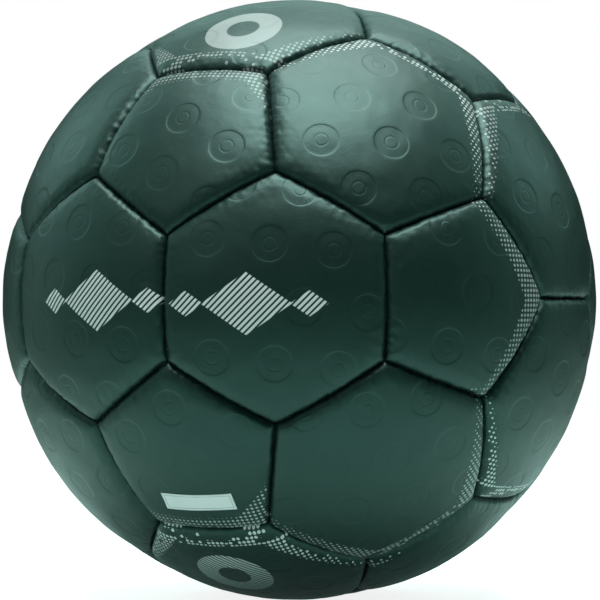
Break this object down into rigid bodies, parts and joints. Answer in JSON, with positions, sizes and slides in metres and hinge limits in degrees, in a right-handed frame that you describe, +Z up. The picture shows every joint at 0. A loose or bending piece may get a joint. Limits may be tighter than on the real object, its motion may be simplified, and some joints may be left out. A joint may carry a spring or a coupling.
{
  "type": "handball",
  "caption": "Sewn indoor handball of padded hexagon and pentagon panels over a rubber bladder with a needle valve.",
  "frame": {"origin": "centre of the ball", "axes": "+Y out along the axis of the valve, -Y through the middle of the front hexagon, +Z up through the middle of a seam between two hexagons"},
  "size_m": [0.1871, 0.1877, 0.186],
  "materials": {
    "cover_leather": "satin",
    "foam": "matte",
    "lining_cloth": "matte",
    "patch_cloth": "matte",
    "thread": "waxed",
    "bladder_rubber": "satin",
    "valve_rubber": "satin",
    "plug_rubber": "satin"
  },
  "bodies": {
    "root": {"hexagon_panel_01": "cover_leather", "hexagon_panel_02": "cover_leather", "hexagon_panel_03": "cover_leather", "hexagon_panel_04": "cover_leather", "hexagon_panel_05": "cover_leather", "hexagon_panel_06": "cover_leather", "hexagon_panel_07": "cover_leather", "hexagon_panel_08": "cover_leather", "hexagon_panel_09": "cover_leather", "hexagon_panel_10": "cover_leather", "hexagon_panel_11": "cover_leather", "hexagon_panel_12": "cover_leather", "hexagon_panel_13": "cover_leather", "hexagon_panel_14": "cover_leather", "hexagon_panel_15": "cover_leather", "hexagon_panel_16": "cover_leather", "hexagon_panel_17": "cover_leather", "hexagon_panel_18": "cover_leather", "hexagon_panel_19": "cover_leather", "pentagon_panel_01": "cover_leather", "pentagon_panel_02": "cover_leather", "pentagon_panel_03": "cover_leather", "pentagon_panel_04": "cover_leather", "pentagon_panel_05": "cover_leather", "pentagon_panel_06": "cover_leather", "pentagon_panel_07": "cover_leather", "pentagon_panel_08": "cover_leather", "pentagon_panel_09": "cover_leather", "pentagon_panel_10": "cover_leather", "pentagon_panel_11": "cover_leather", "pentagon_panel_12": "cover_leather", "valve_panel": "cover_leather", "valve_foam_pad": "foam", "valve_lining": "lining_cloth", "valve_patch": "patch_cloth", "valve_stem": "valve_rubber", "valve_plug": "plug_rubber", "hexagon_foam_pads": "foam", "pentagon_foam_pads": "foam", "hexagon_linings": "lining_cloth", "pentagon_linings": "lining_cloth", "hexagon_seam_threads": "thread", "pentagon_seam_threads": "thread", "bladder": "bladder_rubber"}
  },
  "joints": []
}
